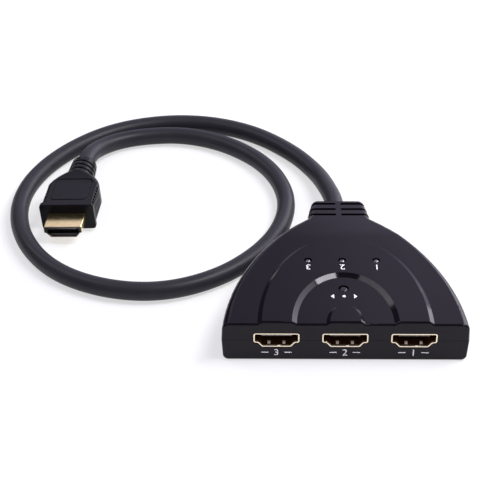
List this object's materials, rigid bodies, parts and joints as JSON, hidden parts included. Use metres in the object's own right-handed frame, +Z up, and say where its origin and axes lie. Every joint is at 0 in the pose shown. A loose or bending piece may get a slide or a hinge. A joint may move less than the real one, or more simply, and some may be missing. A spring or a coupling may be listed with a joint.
{
  "type": "video switch box",
  "caption": "Flat fan-shaped video switch box with sockets along its front, indicator lamps, a select button and a captive cable with a plug.",
  "frame": {"origin": "centre of the box's underside, measured over its neck and without the cable and the plug", "axes": "+Z up, +Y from the socket face to the cable neck, +X towards the first socket"},
  "size_m": [0.1616, 0.1456, 0.016],
  "materials": {
    "cover_top": "gloss, dark charcoal with a violet cast",
    "cover_bottom": "gloss black",
    "board": "green solder mask",
    "screw_steel": "zinc plated",
    "lamp_lens": "clear moulded lamp",
    "lead_metal": "tinned",
    "button_plastic": "gloss black",
    "switch_plastic": "moulded black",
    "chip_plastic": "moulded black",
    "ceramic": "fired ceramic",
    "resistor_black": "glazed black",
    "gland_rubber": "moulded black",
    "wire_jacket": "insulated wire",
    "cable_jacket": "smooth black jacket",
    "plug_plastic": "moulded black",
    "gold_plate": "gold plated sheet",
    "port_plastic": "moulded dark insulator",
    "contact_gold": "gold plated"
  },
  "bodies": {
    "root": {"top_cover": "cover_top", "bottom_cover": "cover_bottom", "circuit_board": "board", "case_screws": "screw_steel", "lamp_1": "lamp_lens", "lamp_2": "lamp_lens", "lamp_3": "lamp_lens", "lamp_legs": "lead_metal", "switch_body": "switch_plastic", "main_chip": "chip_plastic", "control_chip": "chip_plastic", "chip_legs": "lead_metal", "capacitors": "ceramic", "resistors": "resistor_black", "cable_gland": "gland_rubber", "inner_wires": "wire_jacket", "cable": "cable_jacket", "plug_housing": "plug_plastic", "plug_boot": "plug_plastic", "plug_shell": "gold_plate", "plug_core": "port_plastic", "plug_contacts": "contact_gold", "port_1_shell": "gold_plate", "port_1_core": "port_plastic", "port_1_contacts": "contact_gold", "port_2_shell": "gold_plate", "port_2_core": "port_plastic", "port_2_contacts": "contact_gold", "port_3_shell": "gold_plate", "port_3_core": "port_plastic", "port_3_contacts": "contact_gold"},
    "button": {"select_button": "button_plastic", "switch_plunger": "switch_plastic"}
  },
  "joints": [
    {"name": "button_press", "type": "slide", "parent": "root", "child": "button", "axis": [0, 0, -1], "range_m": [0, 0.0003], "stiffness_N_per_m": 1500, "springref_m": -0.0003}
  ]
}
